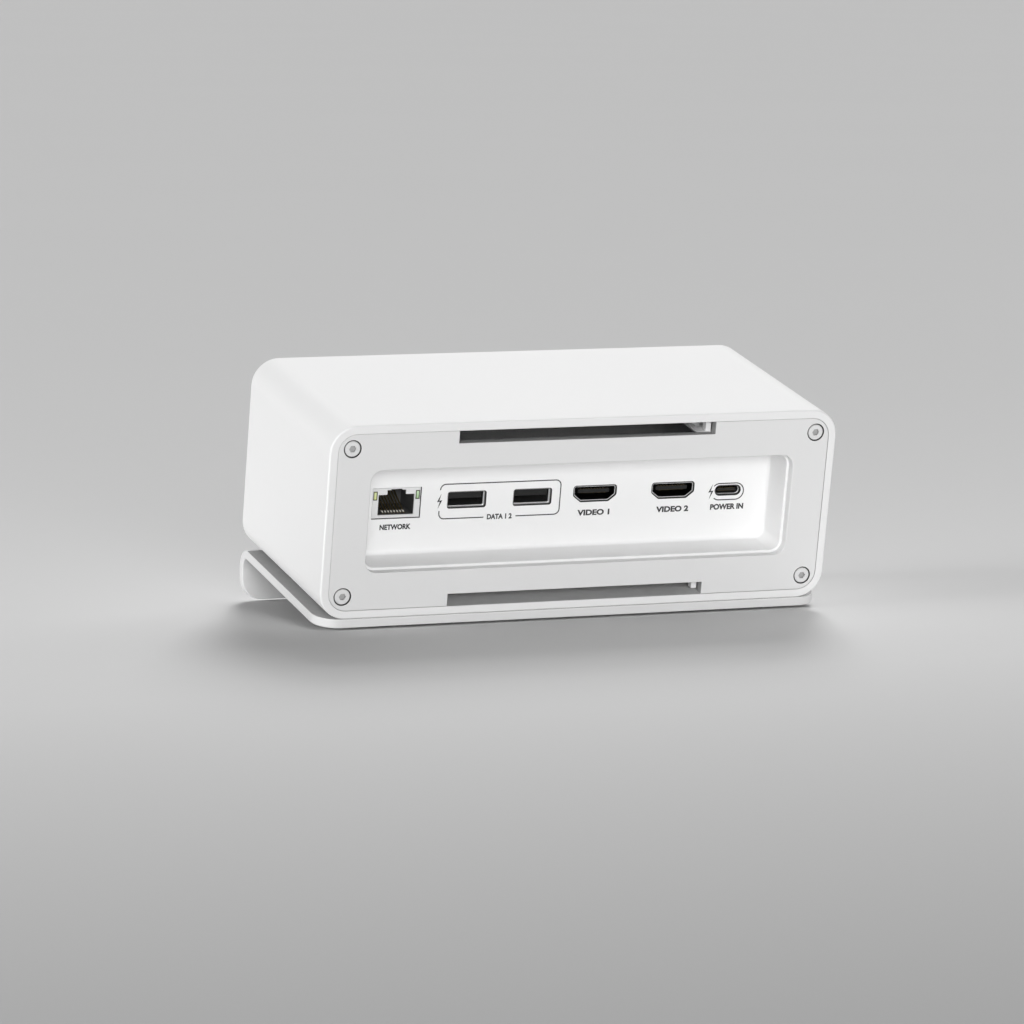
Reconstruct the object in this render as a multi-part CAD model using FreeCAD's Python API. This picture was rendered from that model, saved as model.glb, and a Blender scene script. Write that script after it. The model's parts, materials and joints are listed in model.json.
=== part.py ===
import FreeCAD, Part
import math
import os

V = FreeCAD.Vector

# Dock body: an extruded sleeve that lies tilted on a bent sheet stand
dock_width = 175.0
dock_height = 64.0
dock_depth = 78.0
tilt_angle = 11.25
sleeve_wall = 2.75
sleeve_corner_radius = 9.0
sleeve_edge_radius = 0.6

# End panels, set flush into the sleeve; the rear one has a vent notch in its upper and its lower edge
panel_thickness = 3.0
panel_clearance = 0.1
panel_edge_radius = 0.2
vent_width = 88.6
vent_height = 4.1

# Countersunk screws with hexagon sockets, for the panels and the stand
screw_diameter = 3.0
screw_head_diameter = 5.1
screw_head_rim = 1.2
screw_head_chamfer = 0.2
screw_head_ring = 0.42
screw_socket_width = 2.1
screw_socket_depth = 0.9
screw_clearance = 0.1
screw_seat_clearance = 0.05
screw_tip_room = 1.0
panel_screw_length = 10.0
panel_screw_side_inset = 7.5
panel_screw_edge_inset = 7.55
boss_radius = 3.75

# Opening in the rear panel, and the tray behind it that the sockets look through
opening_width = 146.0
opening_height = 34.0
opening_corner_radius = 4.0
opening_edge_radius = 0.3
tray_depth = 16.0
tray_ledge = 0.85
tray_wall = 2.0
tray_floor = 2.0
tray_flange_reach = 3.0
tray_flange_thickness = 2.0
tray_edge_radius = 0.3
tray_floor_radius = 1.2

# Thin ledges on the tray that close the right ends of the vents, each with a post and a hole
vent_ledge_reach = 5.1
vent_ledge_cover = 4.0
vent_ledge_depth = 11.0
vent_ledge_gap = 0.4
vent_ledge_edge = 0.4
vent_ledge_root = 4.5
vent_post_width = 1.8
vent_post_depth = 2.5
vent_post_gap = 1.1
vent_post_room = 0.75
vent_hole_width = 2.7
vent_hole_length = 3.7
vent_hole_setback = 6.2

# Circuit board in the sleeve's rails
board_top_height = 30.4
board_thickness = 1.6
board_side_clearance = 0.3
board_end_clearance = 0.3
rail_thickness = 1.5
rail_reach = 3.0
rail_clearance = 0.15

# Values that the sockets share
port_clearance = 0.22
insert_clearance = 0.05
leg_thickness = 0.3
leg_length = 1.5
leg_setback = 3.5

# Network jack, sunk into a notch of the board
jack_x = -57.75
jack_drop = 2.6
jack_recess = 0.4
jack_wall = 0.3
jack_front_wall = 0.6
jack_back_wall = 4.5
jack_wing = 1.6
jack_mouth_width = 12.2
jack_mouth_height = 6.85
jack_mouth_rise = 0.95
jack_key_width = 6.4
jack_key_height = 1.5
jack_latch_width = 3.9
jack_latch_height = 0.32
jack_cavity_length = 12.0
jack_contact_count = 8
jack_contact_pitch = 1.02
jack_contact_width = 0.45
jack_contact_thickness = 0.35
jack_contact_start = 1.6
jack_contact_rise = 4.2
led_rib = 0.45
led_rim = 0.25
led_width = 1.3
led_height = 2.85
led_rise = 7.5
led_clearance = 0.08

# Two type A sockets
type_a_left_x = -33.7
type_a_right_x = -11.0
type_a_width = 13.0
type_a_height = 5.3
type_a_length = 14.3
type_a_wall = 0.3
type_a_corner_radius = 0.7
type_a_recess = 0.7
type_a_base_length = 4.0
type_a_tongue_side_gap = 0.6
type_a_tongue_thickness = 1.84
type_a_tongue_drop = 0.55
type_a_tongue_setback = 1.2
type_a_contact_count = 4
type_a_contact_pitch = 2.3
type_a_contact_width = 1.0
type_a_short_contact_count = 5
type_a_short_contact_width = 0.6
type_a_short_contact_length = 1.2
type_a_contact_gap = 0.6
contact_thickness = 0.15

# Two video sockets with slanted lower corners
video_left_x = 10.8
video_right_x = 38.3
video_width = 14.85
video_height = 5.25
video_length = 12.0
video_side_height = 3.2
video_base_width = 9.7
video_corner_radius = 0.9
video_wall = 0.4
video_lip_width = 0.18
video_lip_depth = 0.15
video_standoff = 0.35
video_recess = 0.3
video_base_length = 3.5
video_tongue_side_gap = 1.525
video_tongue_thickness = 1.2
video_tongue_rise = 0.5
video_tongue_setback = 1.0
video_contact_pitch = 1.0
video_contact_width = 0.45
video_contact_count = 10

# Type C sockets: the power input at the rear and the computer's socket in front
power_x = 58.0
host_x = 0.0
type_c_width = 8.94
type_c_height = 3.26
type_c_length = 8.3
type_c_wall = 0.32
type_c_standoff = 0.6
type_c_recess = 0.6
type_c_base_length = 2.5
type_c_tongue_side_gap = 0.8
type_c_tongue_thickness = 0.7
type_c_tongue_setback = 0.6
type_c_contact_pitch = 0.5
type_c_contact_width = 0.25
type_c_contact_count = 12

# Chips and other parts soldered to the board, set off from its ends, its sides or a socket
chip_height = 1.2
hub_chip_side = 14.0
hub_chip_x = -8.0
video_chip_side = 12.0
video_chip_x = 28.0
network_chip_side = 8.0
network_chip_x = -50.0
network_chip_end_inset = 16.4
power_chip_side = 6.0
power_chip_gap = 6.4
memory_chip_width = 6.0
memory_chip_length = 5.0
memory_chip_height = 1.75
memory_chip_x = -38.0
memory_chip_end_inset = 28.4
crystal_width = 3.2
crystal_length = 2.5
crystal_height = 0.8
crystal_pitch = 7.0
crystal_count = 2
crystal_x = -38.0
crystal_end_inset = 16.4
transformer_width = 16.0
transformer_length = 11.0
transformer_height = 6.0
transformer_gap = 1.9
inductor_side = 8.0
inductor_height = 4.0
inductor_corner_radius = 1.2
inductor_count = 3
inductor_pitch = 10.0
inductor_side_inset = 18.5
inductor_end_inset = 10.4
capacitor_diameter = 6.3
capacitor_height = 7.7
capacitor_edge = 0.5
capacitor_count = 3
capacitor_pitch = 8.0
capacitor_side_inset = 9.0
capacitor_end_inset = 15.4

# Heat sink over the two main chips, between the type A sockets and the computer's socket
pad_thickness = 1.0
heat_sink_x = 10.0
heat_sink_width = 84.0
heat_sink_rear_gap = 5.3
heat_sink_front_gap = 0.8
heat_sink_base = 3.0
fin_count = 15
fin_thickness = 1.4
fin_height = 9.0
fin_screw_gap = 0.5
fin_cover_thickness = 0.4
fin_cover_overhang = 12.0
sink_screw_diameter = 2.5
sink_screw_inset = 3.2
sink_screw_head_diameter = 4.6
sink_screw_head_height = 1.8
sink_screw_slot_width = 0.7
sink_screw_slot_depth = 0.8
sink_screw_clearance = 0.2
spacer_diameter = 5.0
nut_width = 5.0
nut_height = 2.0

# Stand: a sheet bent down to the table under the front of the dock
stand_thickness = 3.0
stand_reach = 77.2
stand_bend_radius = 3.6
stand_corner_radius = 8.0
flap_corner_radius = 7.0
stand_edge_radius = 0.4
stand_screw_tip_gap = 0.25
stand_screw_side_inset = 27.5
stand_screw_near_inset = 17.0
stand_screw_far_inset = 20.0

# Rubber feet that lift the sheet's edges off the table
foot_height = 0.6
near_foot_length = 30.0
near_foot_width = 8.0
near_foot_inset = 3.0
near_foot_side_inset = 18.0
near_foot_corner_radius = 3.0
flap_foot_length = 40.0
flap_foot_margin = 0.5
flap_foot_side_inset = 20.0

# Levels and places that several pieces share, in the dock's own axes:
# X across the dock, Y from the socket side inwards, Z up from the dock's underside
cut_margin = 1.0
tolerance = 1e-4
half_width = dock_width / 2
mid_height = dock_height / 2
inner_half_width = half_width - sleeve_wall
inner_roof = dock_height - sleeve_wall
front_panel_back = dock_depth - panel_thickness
screw_x = half_width - panel_screw_side_inset
screw_levels = (panel_screw_edge_inset, dock_height - panel_screw_edge_inset)
tray_back = tray_depth + tray_floor
board_bottom = board_top_height - board_thickness
board_start = tray_back + board_end_clearance
board_end = front_panel_back - board_end_clearance
board_half_width = inner_half_width - board_side_clearance
jack_width = jack_mouth_width + 2 * (led_rib + led_width + led_rim)
jack_height = jack_mouth_rise + jack_mouth_height + jack_key_height + jack_latch_height + jack_wall
jack_bottom = board_top_height - jack_drop
jack_front = tray_depth + jack_recess
jack_back = jack_front + jack_cavity_length + jack_back_wall
type_a_front = tray_depth + type_a_recess
type_a_back = type_a_front + type_a_length
video_front = tray_depth + video_recess
video_back = video_front + video_length
power_front = tray_depth + type_c_recess
power_back = power_front + type_c_length
host_front = dock_depth - type_c_recess
host_back = host_front - type_c_length
sink_bottom = board_top_height + chip_height + pad_thickness
sink_start = type_a_back + heat_sink_rear_gap
sink_end = host_back - heat_sink_front_gap
sink_centre = (sink_start + sink_end) / 2
heat_sink_length = sink_end - sink_start
stand_screw_length = stand_thickness + sleeve_wall - stand_screw_tip_gap
stand_screw_x = half_width - stand_screw_side_inset
stand_screw_places = (stand_screw_near_inset, dock_depth - stand_screw_far_inset)


def box(x0, x1, y0, y1, z0, z1):
    """Block between two corners, given as pairs in either order."""
    corner = V(min(x0, x1), min(y0, y1), min(z0, z1))
    return Part.makeBox(abs(x1 - x0), abs(y1 - y0), abs(z1 - z0), corner)


def centred_box(x, y, z0, width, length, height):
    """Block that stands on the level z0, centred on x and y."""
    return box(x - width / 2, x + width / 2, y - length / 2, y + length / 2, z0, z0 + height)


def rounded_prism(x, z, width, height, radius, y0, y1):
    """Prism along the depth whose section is a rounded rectangle centred on x and z."""
    dx = width / 2 - radius
    dz = height / 2 - radius
    diagonal = radius * math.sqrt(0.5)
    edges = []
    corners = ((1, 1), (-1, 1), (-1, -1), (1, -1))
    for index, (sx, sz) in enumerate(corners):
        cx = x + sx * dx
        cz = z + sz * dz
        side = V(cx + sx * radius, y0, cz)
        cap = V(cx, y0, cz + sz * radius)
        middle = V(cx + sx * diagonal, y0, cz + sz * diagonal)
        start, end = (side, cap) if sx * sz > 0 else (cap, side)
        edges.append(Part.Arc(start, middle, end).toShape())
        nx, nz = corners[(index + 1) % len(corners)]
        if sx != nx:
            following = V(x + nx * dx, y0, z + nz * dz + nz * radius)
        else:
            following = V(x + nx * dx + nx * radius, y0, z + nz * dz)
        if end.distanceToPoint(following) > tolerance:
            edges.append(Part.LineSegment(end, following).toShape())
    return Part.Face(Part.Wire(edges)).extrude(V(0, y1 - y0, 0))


def prism_along_depth(outline, y0, y1):
    """Prism along the depth over an outline of (x, z) points."""
    points = [V(x, y0, z) for x, z in outline]
    return Part.Face(Part.makePolygon(points + points[:1])).extrude(V(0, y1 - y0, 0))


def prism_across(outline, x0, x1):
    """Prism across the dock over an outline of (y, z) points."""
    points = [V(x0, y, z) for y, z in outline]
    return Part.Face(Part.makePolygon(points + points[:1])).extrude(V(x1 - x0, 0, 0))


def turned(profile):
    """Solid turned about Z from a profile of (radius, z) points."""
    points = [V(r, 0, z) for r, z in profile]
    return Part.Face(Part.makePolygon(points + points[:1])).revolve(V(0, 0, 0), V(0, 0, 1), 360)


def hexagon(across_flats, z0, z1):
    radius = across_flats / math.sqrt(3)
    angles = [math.radians(60 * index) for index in range(6)]
    points = [V(radius * math.cos(angle), radius * math.sin(angle), z0) for angle in angles]
    return Part.Face(Part.makePolygon(points + points[:1])).extrude(V(0, 0, z1 - z0))


def aimed(shape, place, direction):
    """Copy of a shape that was built along +Z, aimed along a direction from a place."""
    copy = shape.copy()
    copy.Placement = FreeCAD.Placement(place, FreeCAD.Rotation(V(0, 0, 1), direction))
    return copy


def mirrored(shape, normal, at=V(0, 0, 0)):
    return shape.mirror(at, normal)


def round_edges(shape, radius, chosen):
    """Round those edges of a shape that the test picks by their bounding box."""
    return shape.makeFillet(radius, [edge for edge in shape.Edges if chosen(edge.BoundBox)])


def lies_at_depth(bounds, y):
    return abs(bounds.YMin - y) < tolerance and abs(bounds.YMax - y) < tolerance


def within(bounds, half_x, half_z):
    """Whether an edge lies inside a window about the dock's middle."""
    across = max(-bounds.XMin, bounds.XMax) < half_x
    return across and max(mid_height - bounds.ZMin, bounds.ZMax - mid_height) < half_z


# Countersunk screws
def countersunk_screw(length):
    """Screw along +Z with the face of its head at the origin."""
    head = screw_head_diameter / 2
    shank = screw_diameter / 2
    body = turned([
        (0, 0),
        (head - screw_head_chamfer, 0),
        (head, screw_head_chamfer),
        (head, screw_head_rim),
        (shank, screw_head_rim + head - shank),
        (shank, length),
        (0, length),
    ])
    return body.cut(hexagon(screw_socket_width, 0, screw_socket_depth))


def countersunk_hole(depth):
    """Cutter for such a screw, with a narrow ring left free round its head."""
    head = screw_head_diameter / 2
    hole = (screw_diameter + screw_clearance) / 2
    seat = screw_head_rim + screw_seat_clearance
    return turned([
        (0, -cut_margin),
        (head + screw_head_ring, -cut_margin),
        (head + screw_head_ring, seat),
        (head, seat),
        (hole, seat + head - hole),
        (hole, depth),
        (0, depth),
    ])


def panel_screw_places():
    return [(sx * screw_x, z) for sx in (-1, 1) for z in screw_levels]


def stand_screw_centres():
    return [(sx * stand_screw_x, y) for sx in (-1, 1) for y in stand_screw_places]


def panel_screws(face, direction):
    screw = countersunk_screw(panel_screw_length)
    return [aimed(screw, V(x, face, z), V(0, direction, 0)) for x, z in panel_screw_places()]


# Sleeve: walls, corner bosses for the panel screws and rails for the board
def corner_boss(sx, level):
    """Solid corner of the sleeve, rounded round the screw's axis."""
    wall_x = sx * (half_width - sleeve_wall / 2)
    wall_z = sleeve_wall / 2 if level < mid_height else dock_height - sleeve_wall / 2
    x = sx * screw_x
    y0 = panel_thickness
    y1 = front_panel_back
    inward = x - sx * boss_radius
    towards_middle = level + boss_radius if level < mid_height else level - boss_radius
    post = Part.makeCylinder(boss_radius, y1 - y0, V(x, y0, level), V(0, 1, 0))
    side_web = box(x, wall_x, y0, y1, wall_z, towards_middle)
    flat_web = box(inward, wall_x, y0, y1, level, wall_z)
    return post.fuse([side_web, flat_web])


def board_rails(sx):
    wall = sx * (half_width - sleeve_wall / 2)
    tip = sx * (inner_half_width - rail_reach)
    rails = []
    for z in (board_top_height + rail_clearance, board_bottom - rail_clearance - rail_thickness):
        rails.append(box(wall, tip, tray_back, front_panel_back, z, z + rail_thickness))
    return rails


def housing_sleeve():
    outer = rounded_prism(0, mid_height, dock_width, dock_height, sleeve_corner_radius, 0, dock_depth)
    outer = round_edges(
        outer, sleeve_edge_radius,
        lambda bounds: lies_at_depth(bounds, 0) or lies_at_depth(bounds, dock_depth),
    )
    inner = rounded_prism(
        0, mid_height, dock_width - 2 * sleeve_wall, dock_height - 2 * sleeve_wall,
        sleeve_corner_radius - sleeve_wall, -cut_margin, dock_depth + cut_margin,
    )
    extras = []
    for sx in (-1, 1):
        extras += [corner_boss(sx, level) for level in screw_levels]
        extras += board_rails(sx)
    core = rounded_prism(0, mid_height, dock_width, dock_height, sleeve_corner_radius, 0, dock_depth)
    extras = [extra.common(core) for extra in extras]
    sleeve = outer.cut(inner).fuse(extras).removeSplitter()
    tapped_radius = (screw_diameter + screw_clearance) / 2
    tapped_depth = panel_screw_length - panel_thickness + screw_tip_room
    cuts = []
    for x, z in panel_screw_places():
        cuts.append(Part.makeCylinder(tapped_radius, tapped_depth, V(x, panel_thickness, z), V(0, 1, 0)))
        cuts.append(Part.makeCylinder(tapped_radius, tapped_depth, V(x, front_panel_back, z), V(0, -1, 0)))
    through = sleeve_wall + 2 * cut_margin
    for x, y in stand_screw_centres():
        cuts.append(Part.makeCylinder(tapped_radius, through, V(x, y, -cut_margin)))
    return sleeve.cut(cuts)


# End panels
def panel_blank(face, back):
    """Flat panel with rounded outer edge and screw holes; its face may be at either end."""
    gap = sleeve_wall + panel_clearance
    width = dock_width - 2 * gap
    height = dock_height - 2 * gap
    low, high = min(face, back), max(face, back)
    panel = rounded_prism(0, mid_height, width, height, sleeve_corner_radius - gap, low, high)
    panel = round_edges(panel, panel_edge_radius, lambda bounds: lies_at_depth(bounds, face))
    hole = countersunk_hole(panel_thickness + cut_margin)
    direction = 1 if back > face else -1
    return panel.cut([aimed(hole, V(x, face, z), V(0, direction, 0)) for x, z in panel_screw_places()])


def vent_notches():
    """Cutters for the vents in the upper and the lower edge of the rear panel."""
    gap = sleeve_wall + panel_clearance
    y1 = panel_thickness + cut_margin
    cuts = []
    for edge, inward in ((gap, 1), (dock_height - gap, -1)):
        z0 = edge - inward * cut_margin
        z1 = edge + inward * vent_height
        cuts.append(box(-vent_width / 2, vent_width / 2, -cut_margin, y1, z0, z1))
    return cuts


def rear_panel():
    panel = panel_blank(0, panel_thickness)
    opening = rounded_prism(
        0, mid_height, opening_width, opening_height, opening_corner_radius,
        -cut_margin, panel_thickness + cut_margin,
    )
    panel = panel.cut([opening] + vent_notches())
    return round_edges(
        panel, opening_edge_radius,
        lambda bounds: lies_at_depth(bounds, 0)
        and within(bounds, opening_width / 2 + cut_margin, opening_height / 2 + cut_margin),
    )


def front_panel():
    panel = panel_blank(dock_depth, front_panel_back)
    y0 = front_panel_back - cut_margin
    return panel.cut(type_c_section(host_x, port_clearance, y0, dock_depth + cut_margin))


# Tray behind the rear panel
def vent_ledge(base):
    """Bracket above the right end of the tray whose ledge closes a vent's end; its underside slants."""
    end = vent_width / 2
    tip = end - vent_ledge_reach
    back = end + vent_ledge_cover
    y0 = panel_thickness + vent_ledge_gap
    y1 = y0 + vent_ledge_depth
    top = inner_roof - panel_clearance - vent_height
    underside = top - vent_ledge_root
    bracket = prism_along_depth(
        [(tip, top), (back, top), (back, base), (end, base), (end, underside), (tip, top - vent_ledge_edge)],
        y0, y1,
    )
    post_y = panel_thickness + vent_post_gap
    post = box(end - vent_post_width, end, post_y, post_y + vent_post_depth, top, inner_roof - vent_post_room)
    hole_y = y0 + vent_hole_setback
    hole = box(end - vent_hole_width, end, hole_y, hole_y + vent_hole_length, underside, top + cut_margin)
    return bracket.fuse(post).cut(hole)


def port_tray():
    hollow_width = opening_width - 2 * tray_ledge
    hollow_height = opening_height - 2 * tray_ledge
    hollow_radius = opening_corner_radius - tray_ledge
    tub = rounded_prism(
        0, mid_height, hollow_width + 2 * tray_wall, hollow_height + 2 * tray_wall,
        hollow_radius + tray_wall, panel_thickness, tray_back,
    )
    flange = rounded_prism(
        0, mid_height, opening_width + 2 * tray_flange_reach, opening_height + 2 * tray_flange_reach,
        opening_corner_radius + tray_flange_reach, panel_thickness, panel_thickness + tray_flange_thickness,
    )
    hollow = rounded_prism(
        0, mid_height, hollow_width, hollow_height, hollow_radius, panel_thickness - cut_margin, tray_depth,
    )
    roof = mid_height + hollow_height / 2 + tray_wall
    ledge = vent_ledge(roof - tray_wall / 2)
    lower_ledge = mirrored(ledge, V(0, 0, 1), V(0, 0, mid_height))
    tray = tub.fuse([flange, ledge, lower_ledge]).cut(hollow).removeSplitter()
    tray = round_edges(tray, tray_floor_radius, lambda bounds: lies_at_depth(bounds, tray_depth))
    tray = round_edges(
        tray, tray_edge_radius,
        lambda bounds: lies_at_depth(bounds, panel_thickness)
        and within(bounds, hollow_width / 2 + tray_ledge / 2, hollow_height / 2 + tray_ledge / 2),
    )
    y0 = tray_depth - cut_margin
    y1 = tray_back + cut_margin
    jack_cut = box(
        jack_x - jack_width / 2 - port_clearance, jack_x + jack_width / 2 + port_clearance, y0, y1,
        jack_bottom - port_clearance, jack_bottom + jack_height + port_clearance,
    )
    cuts = [jack_cut, type_c_section(power_x, port_clearance, y0, y1)]
    cuts += [type_a_section(x, port_clearance, y0, y1) for x in (type_a_left_x, type_a_right_x)]
    cuts += [video_section(x, port_clearance, y0, y1) for x in (video_left_x, video_right_x)]
    return tray.cut(cuts)


# Circuit board
def sink_screw_places():
    dx = heat_sink_width / 2 - sink_screw_inset
    dy = heat_sink_length / 2 - sink_screw_inset
    return [(heat_sink_x + sx * dx, sink_centre + sy * dy) for sx in (-1, 1) for sy in (-1, 1)]


def sink_screw_holes(bottom, thickness):
    """Cutters for the heat sink's screws through a plate of that thickness."""
    radius = (sink_screw_diameter + sink_screw_clearance) / 2
    length = thickness + 2 * cut_margin
    start = bottom - cut_margin
    return [Part.makeCylinder(radius, length, V(x, y, start)) for x, y in sink_screw_places()]


def main_board():
    board = box(-board_half_width, board_half_width, board_start, board_end, board_bottom, board_top_height)
    notch_half = jack_width / 2 + board_end_clearance
    notch = box(
        jack_x - notch_half, jack_x + notch_half, board_start - cut_margin, jack_back + board_end_clearance,
        board_bottom - cut_margin, board_top_height + cut_margin,
    )
    return board.cut([notch] + sink_screw_holes(board_bottom, board_thickness))


# Network jack
def jack_outline():
    """Stepped mouth of the jack, with the key and the latch slot above it."""
    low = jack_bottom + jack_mouth_rise
    shoulder = low + jack_mouth_height
    key = shoulder + jack_key_height
    latch = key + jack_latch_height
    right = [
        (jack_mouth_width / 2, low),
        (jack_mouth_width / 2, shoulder),
        (jack_key_width / 2, shoulder),
        (jack_key_width / 2, key),
        (jack_latch_width / 2, key),
        (jack_latch_width / 2, latch),
    ]
    left = [(-x, z) for x, z in reversed(right)]
    return [(jack_x + x, z) for x, z in right + left]


def led_block(side, margin, y0, y1):
    x = jack_x + side * (jack_mouth_width / 2 + led_rib + led_width / 2)
    z = jack_bottom + led_rise
    return box(
        x - led_width / 2 - margin, x + led_width / 2 + margin, y0, y1,
        z - led_height / 2 - margin, z + led_height / 2 + margin,
    )


def network_jack_shell():
    x0 = jack_x - jack_width / 2
    x1 = jack_x + jack_width / 2
    z1 = jack_bottom + jack_height
    shell = box(x0, x1, jack_front, jack_back, jack_bottom, z1)
    inside = box(
        x0 + jack_wall, x1 - jack_wall, jack_front + jack_front_wall, jack_back + cut_margin,
        jack_bottom + jack_wall, z1 - jack_wall,
    )
    wing_start = board_start + leg_setback
    wing_top = board_top_height + leg_thickness
    wings = [
        box(side, tip, wing_start, jack_back - leg_setback, board_top_height, wing_top)
        for side, tip in ((x0, x0 - jack_wing), (x1, x1 + jack_wing))
    ]
    cut_start = jack_front - cut_margin
    cut_end = jack_front + jack_front_wall + cut_margin
    cuts = [led_block(side, led_clearance, cut_start, cut_end) for side in (-1, 1)]
    cuts.append(prism_along_depth(jack_outline(), cut_start, cut_end))
    return shell.cut(inside).fuse(wings).cut(cuts).removeSplitter()


def jack_cavity():
    return prism_along_depth(jack_outline(), jack_front, jack_front + jack_cavity_length)


def network_jack_insert():
    room = jack_wall + insert_clearance
    block = box(
        jack_x - jack_width / 2 + room, jack_x + jack_width / 2 - room,
        jack_front + jack_front_wall, jack_back,
        jack_bottom + room, jack_bottom + jack_height - room,
    )
    return block.cut(jack_cavity())


def network_jack_contacts():
    """Sprung wires that rise from the floor of the cavity to its back."""
    cavity = jack_cavity()
    low = jack_bottom + jack_mouth_rise
    run = jack_cavity_length - jack_front_wall - jack_contact_start
    y0 = jack_front + jack_front_wall + jack_contact_start
    slope = jack_contact_rise / run
    overrun = cut_margin
    ends = [(y0 + along, low + along * slope) for along in (-overrun, run + overrun)]
    outline = ends + [(y, z + jack_contact_thickness) for y, z in reversed(ends)]
    wires = []
    for index in range(jack_contact_count):
        x = jack_x + (index - (jack_contact_count - 1) / 2) * jack_contact_pitch
        wire = prism_across(outline, x - jack_contact_width / 2, x + jack_contact_width / 2)
        wires.append(wire.common(cavity).Solids[0])
    return wires


def network_led(side):
    return led_block(side, 0, jack_front, jack_front + jack_front_wall)


# Legs that carry a socket's shell on the board
def shell_legs(x, width, length, front, middle, inward):
    """Four thin legs beside a shell; inward is 1 where the board lies behind the socket's mouth."""
    legs = []
    for side in (-1, 1):
        outer = x + side * width / 2
        inner = outer - side * leg_thickness
        for setback in (leg_setback, length - leg_length):
            y0 = front + inward * setback
            y1 = y0 + inward * leg_length
            legs.append(box(outer, inner, y0, y1, board_top_height, middle))
    return legs


def contact_strips(x, count, pitch, width, y0, y1, z0):
    strips = []
    for index in range(count):
        centre = x + (index - (count - 1) / 2) * pitch
        strips.append(box(centre - width / 2, centre + width / 2, y0, y1, z0, z0 + contact_thickness))
    return strips


# Type A sockets
type_a_middle = board_top_height + type_a_height / 2
type_a_tongue_top = type_a_middle + type_a_height / 2 - type_a_wall - type_a_tongue_drop
type_a_tongue_front = type_a_front + type_a_tongue_setback
type_a_tongue_width = type_a_width - 2 * (type_a_wall + type_a_tongue_side_gap)


def type_a_section(x, margin, y0, y1):
    return rounded_prism(
        x, type_a_middle, type_a_width + 2 * margin, type_a_height + 2 * margin,
        type_a_corner_radius + margin, y0, y1,
    )


def type_a_shell(x):
    outer = type_a_section(x, 0, type_a_front, type_a_back)
    return outer.cut(type_a_section(x, -type_a_wall, type_a_front - cut_margin, type_a_back + cut_margin))


def type_a_tongue(x):
    base = type_a_section(x, -type_a_wall - insert_clearance, type_a_back - type_a_base_length, type_a_back)
    tongue = box(
        x - type_a_tongue_width / 2, x + type_a_tongue_width / 2, type_a_tongue_front,
        type_a_back - type_a_base_length, type_a_tongue_top - type_a_tongue_thickness, type_a_tongue_top,
    )
    return base.fuse(tongue).removeSplitter()


def type_a_contacts(x):
    """Four long strips under the tongue and five short ones at its tip."""
    z0 = type_a_tongue_top - type_a_tongue_thickness - contact_thickness
    tip = type_a_tongue_front + type_a_contact_gap
    short_end = tip + type_a_short_contact_length
    long_start = short_end + type_a_contact_gap
    base = type_a_back - type_a_base_length
    short_strips = contact_strips(
        x, type_a_short_contact_count, type_a_contact_pitch, type_a_short_contact_width, tip, short_end, z0,
    )
    long_strips = contact_strips(
        x, type_a_contact_count, type_a_contact_pitch, type_a_contact_width, long_start, base, z0,
    )
    return short_strips + long_strips


# Video sockets
video_middle = board_top_height + video_standoff + video_height / 2
video_tongue_front = video_front + video_tongue_setback
video_tongue_width = video_width - 2 * (video_wall + video_tongue_side_gap)
video_tongue_low = video_middle + video_tongue_rise - video_tongue_thickness / 2


def video_outline(x, margin):
    """Section with slanted lower corners, grown or shrunk squarely by the margin."""
    top = video_height / 2 + margin
    side = video_width / 2 + margin
    bottom = -video_height / 2 - margin
    ax, az = video_width / 2, video_height / 2 - video_side_height
    dx = (video_base_width - video_width) / 2
    dz = video_side_height - video_height
    length = math.hypot(dx, dz)
    px = ax - margin * dz / length
    pz = az + margin * dx / length
    knee = pz + (side - px) / dx * dz
    foot = px + (bottom - pz) / dz * dx
    right = [(side, top), (side, knee), (foot, bottom)]
    left = [(-a, b) for a, b in reversed(right)]
    return [(x + a, video_middle + b) for a, b in right + left]


def video_section(x, margin, y0, y1):
    prism = prism_along_depth(video_outline(x, margin), y0, y1)
    radius = video_corner_radius + margin
    return round_edges(prism, radius, lambda bounds: bounds.YLength > (y1 - y0) / 2)


def video_shell(x):
    outer = video_section(x, 0, video_front, video_back)
    legs = shell_legs(x, video_width, video_length, video_front, video_middle + video_tongue_rise, 1)
    hollow = video_section(x, -video_wall, video_front - cut_margin, video_back + cut_margin)
    lip_end = video_front + video_lip_depth
    lip = video_section(x, video_lip_width - video_wall, video_front - cut_margin, lip_end)
    return outer.fuse(legs).cut([hollow, lip]).removeSplitter()


def video_tongue(x):
    base = video_section(x, -video_wall - insert_clearance, video_back - video_base_length, video_back)
    tongue = box(
        x - video_tongue_width / 2, x + video_tongue_width / 2,
        video_tongue_front, video_back - video_base_length,
        video_tongue_low, video_tongue_low + video_tongue_thickness,
    )
    return base.fuse(tongue).removeSplitter()


def video_contacts(x):
    """Upper and lower rows of strips, half a pitch apart."""
    y0 = video_tongue_front + contact_thickness
    y1 = video_back - video_base_length
    upper = video_tongue_low + video_tongue_thickness
    lower = video_tongue_low - contact_thickness
    strips = []
    for count, level in ((video_contact_count, upper), (video_contact_count - 1, lower)):
        strips += contact_strips(x, count, video_contact_pitch, video_contact_width, y0, y1, level)
    return strips


# Type C sockets
type_c_middle = board_top_height + type_c_standoff + type_c_height / 2
type_c_tongue_width = type_c_width - 2 * (type_c_wall + type_c_tongue_side_gap)


def type_c_section(x, margin, y0, y1):
    height = type_c_height + 2 * margin
    return rounded_prism(x, type_c_middle, type_c_width + 2 * margin, height, height / 2, y0, y1)


def type_c_shell(x, front, inward):
    back = front + inward * type_c_length
    outer = type_c_section(x, 0, front, back)
    legs = shell_legs(x, type_c_width, type_c_length, front, type_c_middle, inward)
    hollow = type_c_section(x, -type_c_wall, front - inward * cut_margin, back + inward * cut_margin)
    return outer.fuse(legs).cut(hollow).removeSplitter()


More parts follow.
